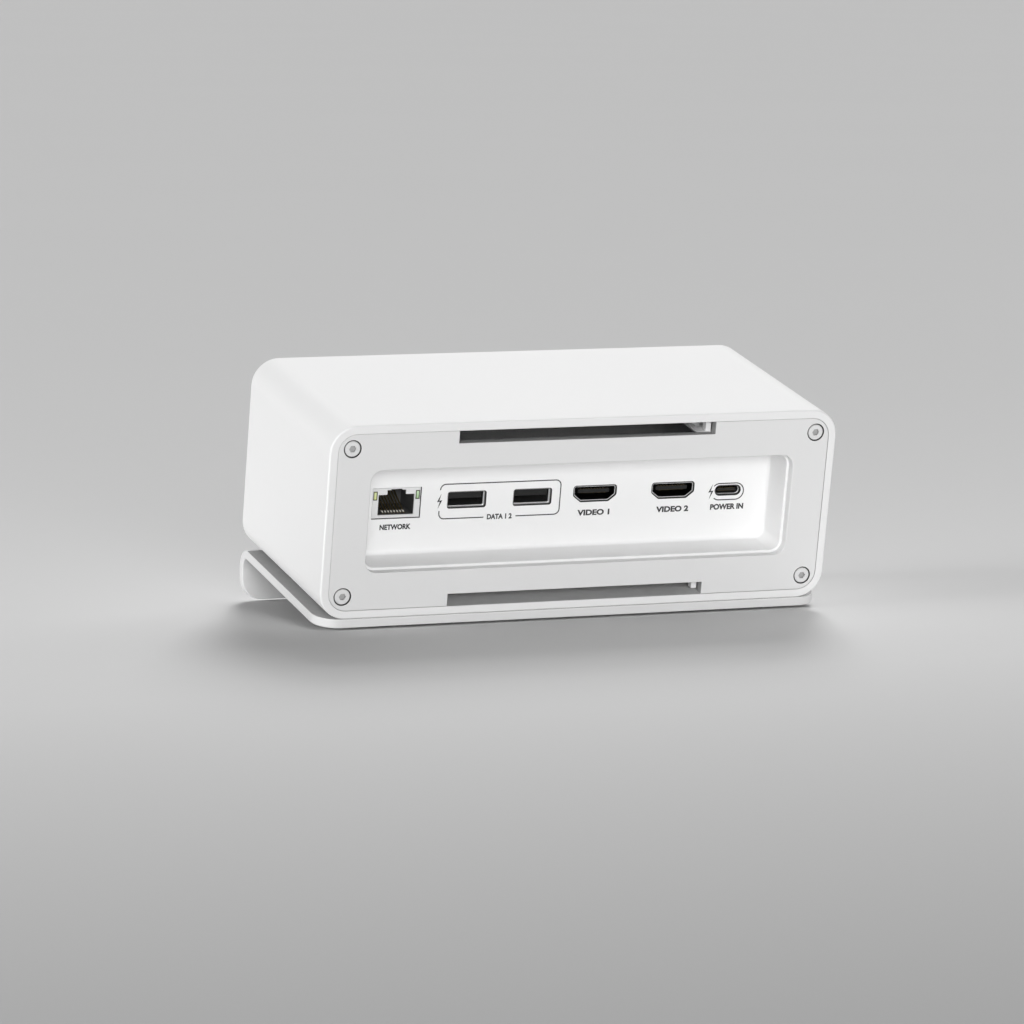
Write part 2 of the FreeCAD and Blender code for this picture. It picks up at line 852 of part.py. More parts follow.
def type_c_tongue(x, front, inward):
    back = front + inward * type_c_length
    base_front = back - inward * type_c_base_length
    tip = front + inward * type_c_tongue_setback
    base = type_c_section(x, -type_c_wall - insert_clearance, base_front, back)
    tongue = box(
        x - type_c_tongue_width / 2, x + type_c_tongue_width / 2, tip, base_front,
        type_c_middle - type_c_tongue_thickness / 2, type_c_middle + type_c_tongue_thickness / 2,
    )
    return base.fuse(tongue).removeSplitter()


def type_c_contacts(x, front, inward):
    tip = front + inward * (type_c_tongue_setback + contact_thickness)
    base_front = front + inward * (type_c_length - type_c_base_length)
    upper = type_c_middle + type_c_tongue_thickness / 2
    lower = type_c_middle - type_c_tongue_thickness / 2 - contact_thickness
    strips = []
    for level in (upper, lower):
        strips += contact_strips(
            x, type_c_contact_count, type_c_contact_pitch, type_c_contact_width, tip, base_front, level,
        )
    return strips


# Parts soldered to the board
def on_board(x, y, width, length, height):
    return centred_box(x, y, board_top_height, width, length, height)


def cooled_chip(x, side):
    return on_board(x, sink_centre, side, side, chip_height)


def network_chip():
    y = board_end - network_chip_end_inset
    return on_board(network_chip_x, y, network_chip_side, network_chip_side, chip_height)


def power_chip():
    y = power_back + power_chip_gap + power_chip_side / 2
    return on_board(power_x, y, power_chip_side, power_chip_side, chip_height)


def memory_chip():
    y = board_end - memory_chip_end_inset
    return on_board(memory_chip_x, y, memory_chip_width, memory_chip_length, memory_chip_height)


def network_transformer():
    y = jack_back + transformer_gap + transformer_length / 2
    return on_board(jack_x, y, transformer_width, transformer_length, transformer_height)


def from_front(inset, pitch, count):
    """Depths of parts in a row that starts at an inset from the board's front end."""
    return [board_end - inset - index * pitch for index in range(count)]


def thermal_pads():
    z0 = board_top_height + chip_height
    return [
        centred_box(x, sink_centre, z0, side, side, pad_thickness)
        for x, side in ((hub_chip_x, hub_chip_side), (video_chip_x, video_chip_side))
    ]


def crystals():
    places = from_front(crystal_end_inset, crystal_pitch, crystal_count)
    return [on_board(crystal_x, y, crystal_width, crystal_length, crystal_height) for y in places]


def power_inductors():
    x = board_half_width - inductor_side_inset
    inductors = []
    for y in from_front(inductor_end_inset, inductor_pitch, inductor_count):
        block = on_board(x, y, inductor_side, inductor_side, inductor_height)
        inductors.append(round_edges(
            block, inductor_corner_radius, lambda bounds: bounds.ZLength > inductor_height / 2,
        ))
    return inductors


def bulk_capacitors():
    radius = capacitor_diameter / 2
    can = turned([
        (0, 0),
        (radius, 0),
        (radius, capacitor_height - capacitor_edge),
        (radius - capacitor_edge, capacitor_height),
        (0, capacitor_height),
    ])
    x = board_half_width - capacitor_side_inset
    places = from_front(capacitor_end_inset, capacitor_pitch, capacitor_count)
    return [aimed(can, V(x, y, board_top_height), V(0, 0, 1)) for y in places]


# Heat sink and what clamps it to the board
def heat_sink():
    base = centred_box(
        heat_sink_x, sink_centre, sink_bottom, heat_sink_width, heat_sink_length, heat_sink_base,
    )
    span = heat_sink_width - fin_thickness
    screw_reach = sink_screw_inset + sink_screw_head_diameter / 2 + fin_screw_gap
    fin_length = heat_sink_length - 2 * screw_reach
    fins = []
    for index in range(fin_count):
        x = heat_sink_x + span * (index / (fin_count - 1) - 0.5)
        height = heat_sink_base + fin_height
        fins.append(centred_box(x, sink_centre, sink_bottom, fin_thickness, fin_length, height))
    return base.fuse(fins).cut(sink_screw_holes(sink_bottom, heat_sink_base)).removeSplitter()


def fin_cover():
    """Thin sheet that lies on the fins, so that the air runs between them from vent to vent."""
    level = sink_bottom + heat_sink_base + fin_height
    width = heat_sink_width + 2 * fin_cover_overhang
    return centred_box(heat_sink_x, sink_centre, level, width, heat_sink_length, fin_cover_thickness)


def heat_sink_spacers():
    height = sink_bottom - board_top_height
    bore = (sink_screw_diameter + sink_screw_clearance) / 2
    ring = turned([(bore, 0), (spacer_diameter / 2, 0), (spacer_diameter / 2, height), (bore, height)])
    return [aimed(ring, V(x, y, board_top_height), V(0, 0, 1)) for x, y in sink_screw_places()]


def heat_sink_screws():
    """Slotted screws down through the sink, its spacers and the board into the nuts."""
    shank = sink_screw_diameter / 2
    head = sink_screw_head_diameter / 2
    length = heat_sink_base + sink_bottom - board_bottom + nut_height
    top = -sink_screw_head_height
    body = turned([(0, top), (head, top), (head, 0), (shank, 0), (shank, length), (0, length)])
    screw = body.cut(centred_box(0, 0, top, 2 * head, sink_screw_slot_width, sink_screw_slot_depth))
    seat = sink_bottom + heat_sink_base
    return [aimed(screw, V(x, y, seat), V(0, 0, -1)) for x, y in sink_screw_places()]


def heat_sink_nuts():
    bore = (sink_screw_diameter + sink_screw_clearance) / 2
    nut = hexagon(nut_width, 0, nut_height).cut(Part.makeCylinder(bore, nut_height))
    return [aimed(nut, V(x, y, board_bottom), V(0, 0, -1)) for x, y in sink_screw_places()]


# Stand and feet, in upright axes: Y from the stand's near lower edge, Z up from the table
slope_sin = math.sin(math.radians(tilt_angle))
slope_cos = math.cos(math.radians(tilt_angle))
slope_tan = math.tan(math.radians(tilt_angle))


def stand_profile():
    """Section of the bent sheet: under the dock, round the bend and down to the table."""
    inner = stand_reach - stand_thickness
    rise = stand_thickness / slope_cos
    outline = [
        (0, foot_height),
        (inner, foot_height + inner * slope_tan),
        (inner, foot_height),
        (stand_reach, foot_height),
        (stand_reach, foot_height + stand_reach * slope_tan + rise),
        (-stand_thickness * slope_sin, foot_height + stand_thickness * slope_cos),
    ]
    return prism_across(outline, -half_width, half_width)


def stand_outer_edge(bounds):
    """Whether an edge of the sheet is sharp: its ends, its sides and its rounded corners."""
    if bounds.XLength < tolerance:
        return bounds.DiagonalLength > stand_thickness + tolerance
    at_an_end = bounds.YMax < tolerance or bounds.ZMax < foot_height + tolerance
    return bounds.XLength < half_width or at_an_end


def stand():
    sheet = stand_profile()
    inner = stand_reach - stand_thickness
    bends = ((inner, stand_bend_radius), (stand_reach, stand_bend_radius + stand_thickness))
    for y, radius in bends:
        level = foot_height + y * slope_tan / 2
        sheet = round_edges(
            sheet, radius,
            lambda bounds: lies_at_depth(bounds, y) and bounds.XLength > half_width and bounds.ZMin > level,
        )
    sheet = round_edges(
        sheet, stand_corner_radius,
        lambda bounds: bounds.XLength < tolerance and bounds.YMax < tolerance
        and bounds.ZLength > stand_thickness / 2,
    )
    sheet = round_edges(
        sheet, flap_corner_radius,
        lambda bounds: bounds.XLength < tolerance and bounds.YMin > inner - tolerance
        and bounds.ZMax < foot_height + tolerance,
    )
    sheet = round_edges(sheet, stand_edge_radius, stand_outer_edge)
    hole = countersunk_hole(stand_thickness + cut_margin)
    holes = [upright(aimed(hole, V(x, y, -stand_thickness), V(0, 0, 1))) for x, y in stand_screw_centres()]
    return sheet.cut(holes)


def stand_screws():
    screw = countersunk_screw(stand_screw_length)
    return [aimed(screw, V(x, y, -stand_thickness), V(0, 0, 1)) for x, y in stand_screw_centres()]


def near_feet():
    """Wedges between the table and the sloping underside of the sheet."""
    y0 = near_foot_inset
    y1 = near_foot_inset + near_foot_width
    x0 = half_width - near_foot_side_inset - near_foot_length
    outline = [(y0, 0), (y1, 0), (y1, foot_height + y1 * slope_tan), (y0, foot_height + y0 * slope_tan)]
    wedge = prism_across(outline, x0, x0 + near_foot_length)
    wedge = round_edges(
        wedge, near_foot_corner_radius,
        lambda bounds: bounds.XLength < tolerance and bounds.YLength < tolerance,
    )
    return [wedge, mirrored(wedge, V(1, 0, 0))]


def flap_feet():
    x0 = half_width - flap_foot_side_inset - flap_foot_length
    y0 = stand_reach - stand_thickness + flap_foot_margin
    y1 = stand_reach - flap_foot_margin
    strip = box(x0, x0 + flap_foot_length, y0, y1, 0, foot_height)
    return [strip, mirrored(strip, V(1, 0, 0))]


# Placing: the dock's axes are tilted onto the stand, then all is centred over its footprint
def upright(shape):
    """Copy of a shape in the dock's axes, tilted and set on the stand."""
    place = V(0, -stand_thickness * slope_sin, foot_height + stand_thickness * slope_cos)
    tilt = FreeCAD.Placement(place, FreeCAD.Rotation(V(1, 0, 0), tilt_angle))
    return shape.transformed(tilt.toMatrix(), True)


def centred(shape):
    edge_round = sleeve_edge_radius * (slope_cos + slope_sin - 1)
    rear = edge_round - (dock_height + stand_thickness) * slope_sin
    front = max(stand_reach, dock_depth * slope_cos - stand_thickness * slope_sin)
    shift = FreeCAD.Placement(V(0, -(rear + front) / 2, 0), FreeCAD.Rotation())
    return shape.transformed(shift.toMatrix(), True)


dock_pieces = {
    "housing_sleeve": housing_sleeve(),
    "rear_panel": rear_panel(),
    "front_panel": front_panel(),
    "rear_panel_screws": panel_screws(0, 1),
    "front_panel_screws": panel_screws(dock_depth, -1),
    "port_tray": port_tray(),
    "main_board": main_board(),
    "network_jack_shell": network_jack_shell(),
    "network_jack_insert": network_jack_insert(),
    "network_jack_contacts": network_jack_contacts(),
    "network_led_left": network_led(-1),
    "network_led_right": network_led(1),
    "type_a_left_shell": type_a_shell(type_a_left_x),
    "type_a_left_tongue": type_a_tongue(type_a_left_x),
    "type_a_left_contacts": type_a_contacts(type_a_left_x),
    "type_a_right_shell": type_a_shell(type_a_right_x),
    "type_a_right_tongue": type_a_tongue(type_a_right_x),
    "type_a_right_contacts": type_a_contacts(type_a_right_x),
    "video_left_shell": video_shell(video_left_x),
    "video_left_tongue": video_tongue(video_left_x),
    "video_left_contacts": video_contacts(video_left_x),
    "video_right_shell": video_shell(video_right_x),
    "video_right_tongue": video_tongue(video_right_x),
    "video_right_contacts": video_contacts(video_right_x),
    "power_port_shell": type_c_shell(power_x, power_front, 1),
    "power_port_tongue": type_c_tongue(power_x, power_front, 1),
    "power_port_contacts": type_c_contacts(power_x, power_front, 1),
    "host_port_shell": type_c_shell(host_x, host_front, -1),
    "host_port_tongue": type_c_tongue(host_x, host_front, -1),
    "host_port_contacts": type_c_contacts(host_x, host_front, -1),
    "hub_chip": cooled_chip(hub_chip_x, hub_chip_side),
    "video_chip": cooled_chip(video_chip_x, video_chip_side),
    "network_chip": network_chip(),
    "power_chip": power_chip(),
    "memory_chip": memory_chip(),
    "crystals": crystals(),
    "network_transformer": network_transformer(),
    "power_inductors": power_inductors(),
    "bulk_capacitors": bulk_capacitors(),
    "thermal_pads": thermal_pads(),
    "heat_sink": heat_sink(),
    "fin_cover": fin_cover(),
    "heat_sink_spacers": heat_sink_spacers(),
    "heat_sink_screws": heat_sink_screws(),
    "heat_sink_nuts": heat_sink_nuts(),
    "stand_screws": stand_screws(),
}

stand_pieces = {
    "stand": stand(),
    "near_feet": near_feet(),
    "flap_feet": flap_feet(),
}


def solids_of(piece):
    return piece if isinstance(piece, list) else [piece]


os.makedirs("parts", exist_ok=True)
placed = {name: [upright(one) for one in solids_of(piece)] for name, piece in dock_pieces.items()}
placed.update({name: solids_of(piece) for name, piece in stand_pieces.items()})
for name, solids in placed.items():
    shapes = [solid for shape in solids for solid in centred(shape).Solids]
    node = shapes[0] if len(shapes) == 1 else Part.makeCompound(shapes)
    node.exportStep("parts/" + name + ".step")
    if not node.isValid():
        print("invalid shape:", name)
    if len(shapes) != len(solids):
        print("unexpected number of solids:", name, len(shapes), "for", len(solids))
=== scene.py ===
"""Looks of the docking station: finishes, printing, floor, light and camera."""

import json
import math

import bmesh
import bpy
from mathutils import Matrix, Vector


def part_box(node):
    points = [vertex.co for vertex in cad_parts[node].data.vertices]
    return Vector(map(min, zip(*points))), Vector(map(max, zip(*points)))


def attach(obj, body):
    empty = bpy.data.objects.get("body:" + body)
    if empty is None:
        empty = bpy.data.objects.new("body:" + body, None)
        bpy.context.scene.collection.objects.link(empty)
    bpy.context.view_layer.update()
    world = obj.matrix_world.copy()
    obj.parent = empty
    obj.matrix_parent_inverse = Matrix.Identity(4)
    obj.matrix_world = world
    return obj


MM = 0.001

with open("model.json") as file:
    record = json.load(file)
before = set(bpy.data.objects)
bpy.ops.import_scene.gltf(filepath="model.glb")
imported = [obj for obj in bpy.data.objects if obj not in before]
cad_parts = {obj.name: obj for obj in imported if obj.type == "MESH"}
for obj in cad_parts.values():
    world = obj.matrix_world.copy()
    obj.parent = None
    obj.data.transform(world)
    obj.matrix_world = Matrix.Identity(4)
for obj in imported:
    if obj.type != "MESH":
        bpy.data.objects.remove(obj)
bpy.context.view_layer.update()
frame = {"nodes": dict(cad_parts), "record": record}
mounts = {mount["name"]: mount for mount in frame["record"]["mounts"]}

# The dock's own axes: across, up its panels, and out of the sockets
ACROSS = Vector((1, 0, 0))
OUT = Vector(mounts["network_socket"]["axis"]).normalized()
UP = OUT.cross(ACROSS)

# Sizes of the casing that the finishes follow
SLEEVE_HALF_WIDTH = 87.5 * MM
SLEEVE_HALF_HEIGHT = 32.0 * MM
SLEEVE_CORNER = 9.0 * MM
SLEEVE_WALL = 2.75 * MM
SLEEVE_HALF_DEPTH = 39.0 * MM
STAND_THICKNESS = 3.0 * MM
VENT_HALF_WIDTH = 44.3 * MM
VENT_START = 25.0 * MM
SCREW_SIDE_INSET = 7.5 * MM
SCREW_EDGE_INSET = 7.55 * MM
SCREW_HEAD_RADIUS = 2.55 * MM
SCREW_HOLE_RADIUS = 2.97 * MM
JACK_RECESS = 0.4 * MM
JACK_MOUTH_HALF_HEIGHT = 3.425 * MM
LENS_HALF_WIDTH = 0.65 * MM
LENS_HALF_HEIGHT = 1.425 * MM
VIDEO_LIP_DEPTH = 0.15 * MM

# Margins by which a finish's border clears the edge that it follows
VENT_MARGIN = 0.1 * MM
VENT_FACE_MARGIN = 0.12 * MM
SCREW_HOLE_MARGIN = 0.05 * MM
SLEEVE_INSIDE_MARGIN = 0.1 * MM
BED_MARGIN = 0.04 * MM
TRAY_CUT_MARGIN = 0.04 * MM
LIP_MARGIN = 0.03 * MM

# Borders and fades inside a finish
SCREW_SOCKET_START = 0.2 * MM
SCREW_SOCKET_FADE = 0.4 * MM
SCREW_SIDE_BAND = 0.3 * MM
SHELL_FADE = 0.25 * MM
WIRE_FOOT_HEIGHT = 0.45 * MM
WIRE_FOOT_FADE = 0.2 * MM
LENS_BORDER = 0.25 * MM
LENS_RIB_PITCH = 0.5 * MM
TRACK_WIDTH = 0.4 * MM
TRACK_PITCH_ACROSS = 1.1 * MM
TRACK_PITCH_DEEP = 1.3 * MM
TRACK_BEND = 4 * MM
BRUSH_STRETCH = (1.0, 14.0, 1.0)
DRAWN_STRETCH = (1.0, 0.06, 1.0)

# Grey levels
CASING_WHITE = 0.86
CASING_INSIDE_GREY = 0.70
PANEL_WHITE = 0.78
# Painted shade on the cut edges of the panels' vents
VENT_EDGE_SHADE_GREY = 0.42
# Painted shade in the panels' screw holes
SCREW_HOLE_SHADE_GREY = 0.10
STAND_WHITE = 0.75
# Painted shade on the stand's upper face under the sleeve
BED_SHADE_GREY = 0.40
TRAY_WHITE = 0.91
# Painted shade on the walls of the tray's socket cut-outs
TRAY_CUT_SHADE_GREY = 0.05
SCREW_WORN_GREY = 0.72
SCREW_WHITE = 0.79
# Painted shade down the screw sockets and on the sides of the screw heads
SCREW_SOCKET_SHADE_GREY = 0.42
SCREW_SIDE_SHADE_GREY = 0.07
# Painted shade deep in the socket shells
SHELL_DEEP_SHADE_GREY = 0.05
JACK_TIN_GREY = 0.90
TYPE_A_TIN_GREY = 0.95
# Painted dark reflection on the type A shells' cut edges
TYPE_A_EDGE_REFLECTION_GREY = 0.22
PORT_STEEL_GREY = 0.92
# Painted dark reflection on the power and host shells' cut edges
PORT_EDGE_REFLECTION_GREY = 0.05
# Painted highlight round the video shells' lips
VIDEO_LIP_HIGHLIGHT_GREY = 0.75
SOCKET_BLACK = 0.009
JACK_BLACK = 0.07
CHIP_BLACK = 0.03
COVER_FILM_GREY = 0.72

# Colours
ZINC = (0.62, 0.62, 0.60, 1)
CRYSTAL_TIN = (0.82, 0.82, 0.80, 1)
BRASS = (0.72, 0.55, 0.27, 1)
CAN_ALUMINIUM = (0.70, 0.70, 0.72, 1)
FERRITE_GREY = (0.10, 0.10, 0.11, 1)
PAD_BLUE = (0.42, 0.47, 0.53, 1)
MASK_GREEN, TRACK_GREEN = (0.012, 0.085, 0.035, 1), (0.03, 0.17, 0.07, 1)
CONTACT_WORN, CONTACT_FRESH = (0.20, 0.15, 0.08, 1), (0.32, 0.25, 0.14, 1)
WIRE_WORN, WIRE_FRESH = (0.15, 0.115, 0.055, 1), (0.22, 0.175, 0.095, 1)
# Painted highlight at the feet of the jack's wires
WIRE_FOOT_HIGHLIGHT = (0.80, 0.77, 0.70, 1)
LENS_DARK = (0.05, 0.055, 0.03, 1)
YELLOW_DEEP, YELLOW_PALE = (0.66, 0.72, 0.28, 1), (0.80, 0.85, 0.46, 1)
GREEN_DEEP, GREEN_PALE = (0.28, 0.46, 0.22, 1), (0.60, 0.78, 0.52, 1)

# How far into its mouth a shell keeps its plate colour before painted shade darkens it, and how far its
# rolled lip leans outwards
JACK_BRIGHT_DEPTH = 0.6 * MM
TYPE_A_BRIGHT_DEPTH = 0.9 * MM
PORT_BRIGHT_DEPTH = 0.5 * MM
LIP_ROLL = 1.5

# Printing on the tray's floor
INK_THICKNESS = 0.03 * MM
INK_SINK = 0.01 * MM
LINE_WIDTH = 0.37 * MM
LETTER_WEIGHT = 0.046
LETTER_STEPS = 4
# Outline of a bolt sign, in shares of its height
BOLT_OUTLINE = [(0.10, 0.5), (-0.17, -0.05), (0.02, -0.02), (-0.10, -0.5), (0.17, 0.07), (-0.02, 0.04)]
# Piece, socket it stands by, and in millimetres: shift to the right and up, height
BOLTS = [
    ("data_bolt_print", "type_a_left_socket", -9.35, -0.25, 5.2),
    ("power_bolt_print", "power_socket", -6.0, -0.33, 5.3),
]
# Piece, text, socket it stands by, and in millimetres: shift to the right and up, width, letter height
WORDS = [
    ("network_word", "NETWORK", "network_socket", 0.1, -7.35, 10.65, 1.85),
    ("data_word", "DATA 1 2", "type_a_left_socket", 11.7, -6.1, 8.6, 1.8),
    ("video_left_word", "VIDEO 1", "video_left_socket", 0.0, -6.4, 11.3, 2.0),
    ("video_right_word", "VIDEO 2", "video_right_socket", 0.4, -6.4, 11.5, 2.0),
    ("power_word", "POWER IN", "power_socket", 0.15, -5.6, 11.9, 2.0),
]

# Floor, in metres: its grey far off, a painted pool of light round the dock and painted shade towards the
# viewer
FLOOR_REACH = 30.0
FLOOR_FAR = 0.555
FLOOR_PAINTED_GLOW = 0.10
FLOOR_NEAR_SHADE = 0.19
FLOOR_PATCHES = 0.01
FLOOR_PATCH_SIZE = 0.5
GLOW_RADIUS = 0.35
FALL_START = 0.15
FALL_LENGTH = 0.5

# Soft lamps: azimuth, elevation and spread in degrees, and strength
WORLD_STRENGTH = 0.09
LAMPS = [
    ("key_behind_low", 154, 27, 16, 1.5),
    ("key_behind_high", 152, 40, 20, 1.1),
    ("key_right", 122, 42, 34, 0.55),
    ("overhead", 100, 78, 60, 0.28),
    ("fill_left", -88, 11, 24, 1.72),
    ("fill_front", -13, 3, 34, 3.2),
]

sleeve_low, sleeve_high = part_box("housing_sleeve")
sleeve_middle = (sleeve_low + sleeve_high) / 2
tray_floor = Vector(mounts["network_socket"]["pos_m"]) + OUT * JACK_RECESS


class Field:
    """A shader value; arithmetic on it adds Math nodes."""

    def __init__(self, finish, socket):
        self.finish = finish
        self.socket = socket

    def combine(self, operation, *values):
        inputs = dict(enumerate(values))
        return self.finish.node("Math", {"operation": operation}, inputs)

    def __add__(self, other):
        return self.combine("ADD", self, other)

    def __radd__(self, other):
        return self.combine("ADD", other, self)

    def __sub__(self, other):
        return self.combine("SUBTRACT", self, other)

    def __rsub__(self, other):
        return self.combine("SUBTRACT", other, self)

    def __mul__(self, other):
        return self.combine("MULTIPLY", self, other)

    def __rmul__(self, other):
        return self.combine("MULTIPLY", other, self)

    def __truediv__(self, other):
        return self.combine("DIVIDE", self, other)

    def __rtruediv__(self, other):
        return self.combine("DIVIDE", other, self)

    def __pow__(self, other):
        return self.combine("POWER", self, other)

    def __abs__(self):
        return self.combine("ABSOLUTE", self)

    def __lt__(self, other):
        return self.combine("LESS_THAN", self, other)

    def __gt__(self, other):
        return self.combine("GREATER_THAN", self, other)

    def clamped(self):
        return self.combine("MINIMUM", self.combine("MAXIMUM", self, 0.0), 1.0)

    def at_least(self, other):
        return self.combine("MAXIMUM", self, other)

    def modulo(self, other):
        return self.combine("FLOORED_MODULO", self, other)


class Finish:
    """One material: a Principled surface and the nodes that vary it."""

    def __init__(self, name, **surface):
        self.material = bpy.data.materials.new(name)
        self.material.use_nodes = True
        self.tree = self.material.node_tree
        self.surface = self.tree.nodes["Principled BSDF"]
        for socket, value in surface.items():
            self.set(socket.replace("_", " ").title(), value)

    def node(self, kind, settings=None, inputs=None, output=0):
        """Add a node: its settings first, then the values or links of its sockets."""
        node = self.tree.nodes.new("ShaderNode" + kind)
        for name, value in (settings or {}).items():
            setattr(node, name, value)
        for name, value in (inputs or {}).items():
            self.feed(node.inputs[name], value)
        return Field(self, node.outputs[output])

    def feed(self, socket, value):
        if isinstance(value, Field):
            self.tree.links.new(value.socket, socket)
        else:
            socket.default_value = value

    def set(self, socket, value):
        names = {"Specular": "Specular IOR Level"}
        self.feed(self.surface.inputs[names.get(socket, socket)], value)

    def place(self):
        """Position in the row frame, in metres."""
        return self.node("TexCoord", output="Object")

    def along(self, direction, origin=Vector()):
        """Distance along a direction from a point, in metres."""
        inputs = {0: self.place(), 1: direction}
        dot = self.node("VectorMath", {"operation": "DOT_PRODUCT"}, inputs, output="Value")
        return dot - origin.dot(direction)

    def noise(self, size, detail=2.0, stretch=None):
        """Smooth noise from 0 to 1 whose features are about that size, in metres."""
        where = self.place()
        if stretch:
            where = self.node("VectorMath", {"operation": "MULTIPLY"}, {0: where, 1: stretch})
        return self.node("TexNoise", inputs={"Vector": where, "Scale": 1 / size, "Detail": detail})

    def mix(self, factor, first, second):
        """Colour that goes from first to second with the factor."""
        return self.node("Mix", {"data_type": "RGBA"}, {0: factor, 6: first, 7: second}, output=2)

    def lean(self, direction, amount):
        """Turn the shaded side of the surface towards a direction, as a rounded edge does."""
        facing = self.node("NewGeometry", output="Normal")
        turn = self.node("VectorMath", {"operation": "SCALE"}, {0: direction, "Scale": amount})
        leaned = self.node("VectorMath", {"operation": "ADD"}, {0: facing, 1: turn})
        self.set("Normal", self.node("VectorMath", {"operation": "NORMALIZE"}, {0: leaned}))

    def bump(self, height, depth, strength):
        """Relief of that depth in metres; height runs from 0 to 1."""
        inputs = {"Height": height, "Distance": depth, "Strength": strength}
        self.set("Normal", self.node("Bump", inputs=inputs))


def grey(level):
    return (level, level, level, 1.0)


def dimmed(colour, share):
    """The colour with each channel brought down to that share."""
    return tuple(share * channel for channel in colour[:3]) + (1.0,)


# Parts of a piece that take another grey, painted shade on all but the sleeve's inside: 1 on the part, 0
# elsewhere
def vent_edge_painted_shade(finish):
    """The cut edges of a panel's vents, behind its face, darkened with painted shade."""
    beside_middle = abs(finish.along(UP, sleeve_middle)) > VENT_START
    in_vent = abs(finish.along(ACROSS)) < VENT_HALF_WIDTH + VENT_MARGIN
    behind_face = abs(finish.along(OUT, sleeve_middle)) < SLEEVE_HALF_DEPTH - VENT_FACE_MARGIN
    return beside_middle * in_vent * behind_face


def from_panel_screw(finish):
    """Distance from the axis of the nearest panel screw, in metres."""
    dx = abs(finish.along(ACROSS)) - (SLEEVE_HALF_WIDTH - SCREW_SIDE_INSET)
    dz = abs(finish.along(UP, sleeve_middle)) - (SLEEVE_HALF_HEIGHT - SCREW_EDGE_INSET)
    return (dx * dx + dz * dz) ** 0.5


def screw_hole_painted_shade(finish):
    """The walls of a panel's screw holes, behind its face, darkened with painted shade."""
    in_hole = from_panel_screw(finish) < SCREW_HOLE_RADIUS + SCREW_HOLE_MARGIN
    behind_face = abs(finish.along(OUT, sleeve_middle)) < SLEEVE_HALF_DEPTH - SCREW_HOLE_MARGIN
    return in_hole * behind_face


def sleeve_inside(finish):
    """The sleeve's inner walls, without its outside and its end rims."""
    dx = (abs(finish.along(ACROSS)) - (SLEEVE_HALF_WIDTH - SLEEVE_CORNER)).at_least(0.0)
    dz = (abs(finish.along(UP, sleeve_middle)) - (SLEEVE_HALF_HEIGHT - SLEEVE_CORNER)).at_least(0.0)
    from_core = (dx * dx + dz * dz) ** 0.5
    return from_core < SLEEVE_CORNER - SLEEVE_WALL + SLEEVE_INSIDE_MARGIN


def dock_bed_painted_shade(finish):
    """The stand's upper face under the sleeve, darkened with painted shade."""
    return finish.along(UP, sleeve_middle) > -SLEEVE_HALF_HEIGHT - BED_MARGIN


# Finishes
def painted_white(name, level, darker_parts):
    """Satin paint with a fine texture; each pair of the list gives a part and the darker grey it takes,
    which is painted shade on the vents' edges, the screw holes and the stand's bed.
    """
    finish = Finish(name, specular=0.06)
    patches = finish.noise(size=60 * MM)
    grain = finish.noise(size=0.35 * MM, detail=3.0)
    paint = finish.mix(patches, grey(level * 0.985), grey(level))
    # Darker greys on parts: painted shade on all of them but the sleeve's inside
    for part, darker_level in darker_parts:
        stain = finish.noise(size=3 * MM)
        darker = finish.mix(stain, grey(darker_level * 0.85), grey(darker_level))
        paint = finish.mix(part(finish), paint, darker)
    finish.set("Base Color", paint)
    finish.set("Roughness", 0.68 + 0.06 * patches + 0.05 * grain)
    finish.bump(grain, depth=0.006 * MM, strength=0.5)
    return finish.material


def moulded_white(name, level, cut_shade_level):
    """Fine matte plastic; the walls of the sockets' cut-outs, behind its floor, are darkened with painted
    shade.
    """
    finish = Finish(name, specular=0.15)
    grain = finish.noise(size=0.25 * MM, detail=3.0)
    patches = finish.noise(size=40 * MM)
    # Painted shade on the cut-out walls behind the floor
    cut_wall_shade = finish.along(OUT, tray_floor) < -TRAY_CUT_MARGIN
    plastic = finish.mix(patches, grey(level * 0.985), grey(level))
    finish.set("Base Color", finish.mix(cut_wall_shade, plastic, grey(cut_shade_level)))
    finish.set("Roughness", 0.48 + 0.08 * grain)
    finish.bump(grain, depth=0.006 * MM, strength=0.5)
    return finish.material


def plated_steel(name, colour, roughness):
    """Rolled and plated sheet with faint lines along it."""
    finish = Finish(name, metallic=1.0)
    lines = finish.noise(size=1.6 * MM, detail=4.0, stretch=BRUSH_STRETCH)
    stain = finish.noise(size=5 * MM)
    finish.set("Base Color", finish.mix(stain, dimmed(colour, 0.86), colour))
    finish.set("Roughness", roughness + 0.12 * lines)
    finish.bump(lines, depth=0.004 * MM, strength=0.6)
    return finish.material


def painted_screw(name, outwards, reach, from_axis=None):
    """Screw in the casing's paint, with painted shade down its socket and darker painted shade on the
    side of its head.
    """
    finish = Finish(name, specular=0.4)
    grain = finish.noise(size=0.3 * MM, detail=3.0)
    depth = reach - finish.along(outwards, sleeve_middle)
    sunk = ((depth - SCREW_SOCKET_START) / SCREW_SOCKET_FADE).clamped()
    paint = finish.mix(grain, grey(SCREW_WORN_GREY), grey(SCREW_WHITE))
    # Painted shade down the socket, darker on the side of the head
    darker = grey(SCREW_SOCKET_SHADE_GREY)
    if from_axis:
        head_side_shade = from_axis(finish) > SCREW_HEAD_RADIUS - SCREW_SIDE_BAND
        darker = finish.mix(head_side_shade, darker, grey(SCREW_SIDE_SHADE_GREY))
    finish.set("Base Color", finish.mix(sunk, paint, darker))
    finish.set("Roughness", 0.42 + 0.1 * grain)
    finish.bump(grain, depth=0.006 * MM, strength=0.5)
    return finish.material


